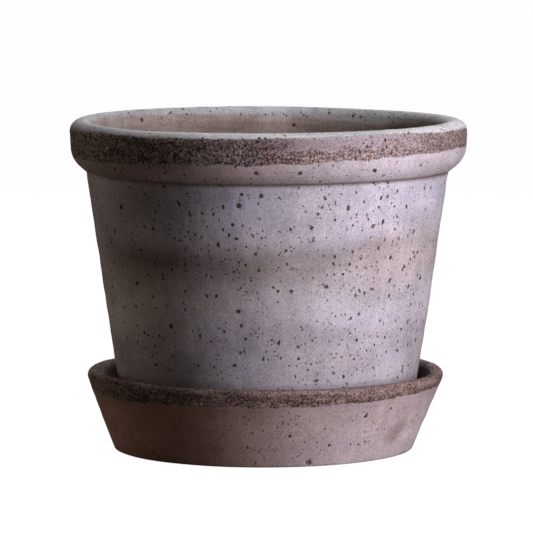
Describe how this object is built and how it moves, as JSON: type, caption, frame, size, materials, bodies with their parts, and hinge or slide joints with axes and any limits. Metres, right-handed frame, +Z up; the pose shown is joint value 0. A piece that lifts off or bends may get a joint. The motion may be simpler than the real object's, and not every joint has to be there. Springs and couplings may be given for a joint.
{
  "type": "terracotta flowerpot with saucer",
  "caption": "Round tapered clay flowerpot with a heavy rolled collar and a drain hole, standing in a shallow drip saucer that it lifts out of.",
  "frame": {"origin": "centre of the saucer's underside, on the surface that the object stands on", "axes": "+Z up along the axis that both pieces are turned about; X and Y are level"},
  "size_m": [0.14, 0.14, 0.1165],
  "materials": {
    "pot_clay": "matt grey-lilac slip with dark pits, rubbed through to a rough dark band round the collar",
    "saucer_clay": "matt pinkish grey slip with dark pits, rubbed through to a rough dark band round the lip"
  },
  "bodies": {
    "saucer": {"saucer": "saucer_clay"},
    "pot": {"pot": "pot_clay"}
  },
  "joints": [
    {"name": "pot_lift", "type": "slide", "parent": "saucer", "child": "pot", "axis": [0, 0, 1], "range_m": [0, 0.06]}
  ]
}
